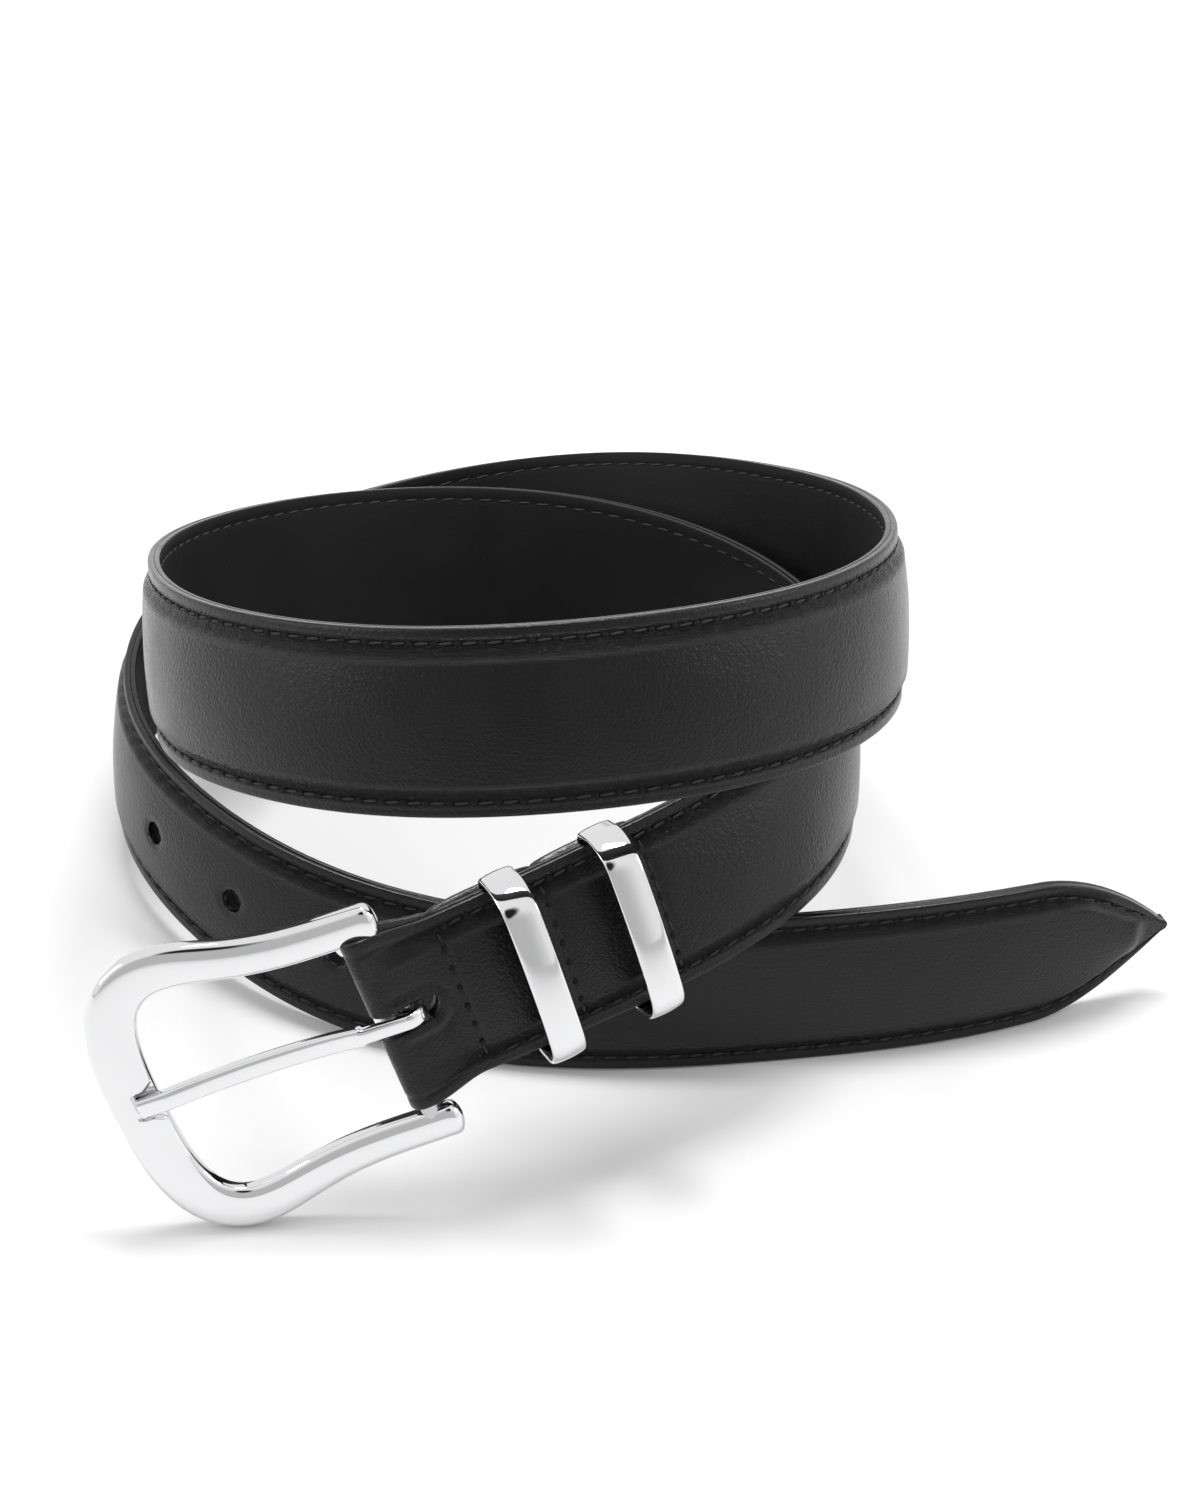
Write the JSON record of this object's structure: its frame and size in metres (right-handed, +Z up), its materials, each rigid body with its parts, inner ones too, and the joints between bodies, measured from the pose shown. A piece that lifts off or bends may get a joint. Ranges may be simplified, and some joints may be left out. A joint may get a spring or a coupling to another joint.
{
  "type": "dress belt",
  "caption": "Padded stitched leather dress belt coiled on its edge, with a horseshoe pin buckle and sliding metal keepers.",
  "frame": {"origin": "on the surface that the coil stands on, under the middle of the whole belt's box", "axes": "+X towards the pointed free end, +Y away from the buckle's face, +Z up across the width of the strap"},
  "size_m": [0.2252, 0.1982, 0.1216],
  "materials": {
    "face_leather": "smooth glossy black calf with painted edges",
    "core": "soft skived leather padding, sealed inside",
    "lining_leather": "matt near-black lining leather",
    "face_thread": "waxed black sewing thread",
    "back_thread": "grey bobbin thread",
    "plated_metal": "bright polished plating",
    "bar_steel": "plain drawn steel"
  },
  "bodies": {
    "strap": {"strap_face": "face_leather", "strap_filler": "core", "strap_lining": "lining_leather", "edge_thread_face": "face_thread", "edge_thread_back": "back_thread", "cross_thread_slot": "face_thread", "cross_thread_middle": "face_thread", "cross_thread_tongue": "face_thread"},
    "buckle": {"buckle_frame": "plated_metal", "heel_bar": "bar_steel"},
    "prong": {"prong": "plated_metal"},
    "keeper_front": {"keeper_front": "plated_metal"},
    "keeper_rear": {"keeper_rear": "plated_metal"}
  },
  "joints": [
    {"name": "buckle_pivot", "type": "hinge", "parent": "strap", "child": "buckle", "pos_m": [-0.04418, -0.08583, 0.0444], "axis": [-0.318, 0.1685, 0.933], "range_deg": [-20, 85]},
    {"name": "prong_pivot", "type": "hinge", "parent": "buckle", "child": "prong", "pos_m": [-0.04418, -0.08583, 0.0444], "axis": [-0.318, 0.1685, 0.933], "range_deg": [0, 70]},
    {"name": "keeper_front_slide", "type": "slide", "parent": "strap", "child": "keeper_front", "axis": [0.8871, 0.4303, 0.1672], "range_m": [-0.006, 0.0005]},
    {"name": "keeper_rear_slide", "type": "slide", "parent": "strap", "child": "keeper_rear", "axis": [0.8747, 0.4659, 0.1334], "range_m": [-0.006, 0.0015]}
  ]
}
